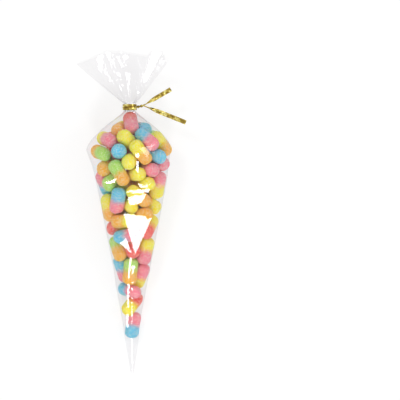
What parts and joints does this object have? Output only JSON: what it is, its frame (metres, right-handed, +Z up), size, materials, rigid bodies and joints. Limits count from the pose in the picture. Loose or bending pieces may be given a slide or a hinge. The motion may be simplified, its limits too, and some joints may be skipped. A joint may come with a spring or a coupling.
{
  "type": "plastic cone bag",
  "caption": "Clear film cone bag of two-colour sugared jelly sweets, gathered into a ruffle and closed with a gold twist tie, lying on its side.",
  "frame": {"origin": "on the flat that rests on the surface, under the middle of the bag", "axes": "+Y from the tip to the mouth, +X across, +Z up"},
  "size_m": [0.1103, 0.327, 0.0615],
  "materials": {
    "clear_film": "clear gloss",
    "gold_foil": "creased metallic foil",
    "jelly_blue_pink": "sugared, blue towards the mouth and pink towards the tip",
    "jelly_green_orange": "sugared, green towards the mouth and orange towards the tip",
    "jelly_orange_green": "sugared, orange towards the mouth and green towards the tip",
    "jelly_pink_blue": "sugared, pink towards the mouth and blue towards the tip",
    "jelly_pink_yellow": "sugared, pink towards the mouth and yellow towards the tip",
    "jelly_red_blue": "sugared, red towards the mouth and blue towards the tip",
    "jelly_red_orange": "sugared, red towards the mouth and orange towards the tip",
    "jelly_red_pink": "sugared, red towards the mouth and pink towards the tip",
    "jelly_red_yellow": "sugared, red towards the mouth and yellow towards the tip",
    "jelly_yellow_orange": "sugared, yellow towards the mouth and orange towards the tip",
    "jelly_yellow_pink": "sugared, yellow towards the mouth and pink towards the tip",
    "jelly_yellow_red": "sugared, yellow towards the mouth and red towards the tip"
  },
  "bodies": {
    "root": {"clear_film_bag": "clear_film", "gold_twist_tie": "gold_foil", "jelly_sweet_01": "jelly_red_blue", "jelly_sweet_02": "jelly_yellow_red", "jelly_sweet_03": "jelly_blue_pink", "jelly_sweet_04": "jelly_blue_pink", "jelly_sweet_05": "jelly_green_orange", "jelly_sweet_06": "jelly_pink_yellow", "jelly_sweet_07": "jelly_green_orange", "jelly_sweet_08": "jelly_yellow_red", "jelly_sweet_09": "jelly_yellow_pink", "jelly_sweet_10": "jelly_yellow_red", "jelly_sweet_11": "jelly_blue_pink", "jelly_sweet_12": "jelly_red_yellow", "jelly_sweet_13": "jelly_pink_blue", "jelly_sweet_14": "jelly_red_orange", "jelly_sweet_15": "jelly_yellow_pink", "jelly_sweet_16": "jelly_blue_pink", "jelly_sweet_17": "jelly_red_yellow", "jelly_sweet_18": "jelly_orange_green", "jelly_sweet_19": "jelly_yellow_red", "jelly_sweet_20": "jelly_orange_green", "jelly_sweet_21": "jelly_yellow_red", "jelly_sweet_22": "jelly_yellow_red", "jelly_sweet_23": "jelly_pink_blue", "jelly_sweet_24": "jelly_blue_pink", "jelly_sweet_25": "jelly_yellow_red", "jelly_sweet_26": "jelly_red_yellow", "jelly_sweet_27": "jelly_pink_blue", "jelly_sweet_28": "jelly_red_yellow", "jelly_sweet_29": "jelly_green_orange", "jelly_sweet_30": "jelly_orange_green", "jelly_sweet_31": "jelly_yellow_red", "jelly_sweet_32": "jelly_pink_blue", "jelly_sweet_33": "jelly_green_orange", "jelly_sweet_34": "jelly_blue_pink", "jelly_sweet_35": "jelly_yellow_orange", "jelly_sweet_36": "jelly_blue_pink", "jelly_sweet_37": "jelly_yellow_red", "jelly_sweet_38": "jelly_blue_pink", "jelly_sweet_39": "jelly_orange_green", "jelly_sweet_40": "jelly_red_yellow", "jelly_sweet_41": "jelly_red_pink", "jelly_sweet_42": "jelly_red_pink", "jelly_sweet_43": "jelly_orange_green", "jelly_sweet_44": "jelly_red_yellow", "jelly_sweet_45": "jelly_pink_blue", "jelly_sweet_46": "jelly_green_orange", "jelly_sweet_47": "jelly_yellow_red", "jelly_sweet_48": "jelly_pink_blue", "jelly_sweet_49": "jelly_orange_green", "jelly_sweet_50": "jelly_yellow_red", "jelly_sweet_51": "jelly_blue_pink", "jelly_sweet_52": "jelly_orange_green", "jelly_sweet_53": "jelly_red_yellow", "jelly_sweet_54": "jelly_pink_blue", "jelly_sweet_55": "jelly_green_orange", "jelly_sweet_56": "jelly_yellow_red", "jelly_sweet_57": "jelly_blue_pink"}
  },
  "joints": []
}
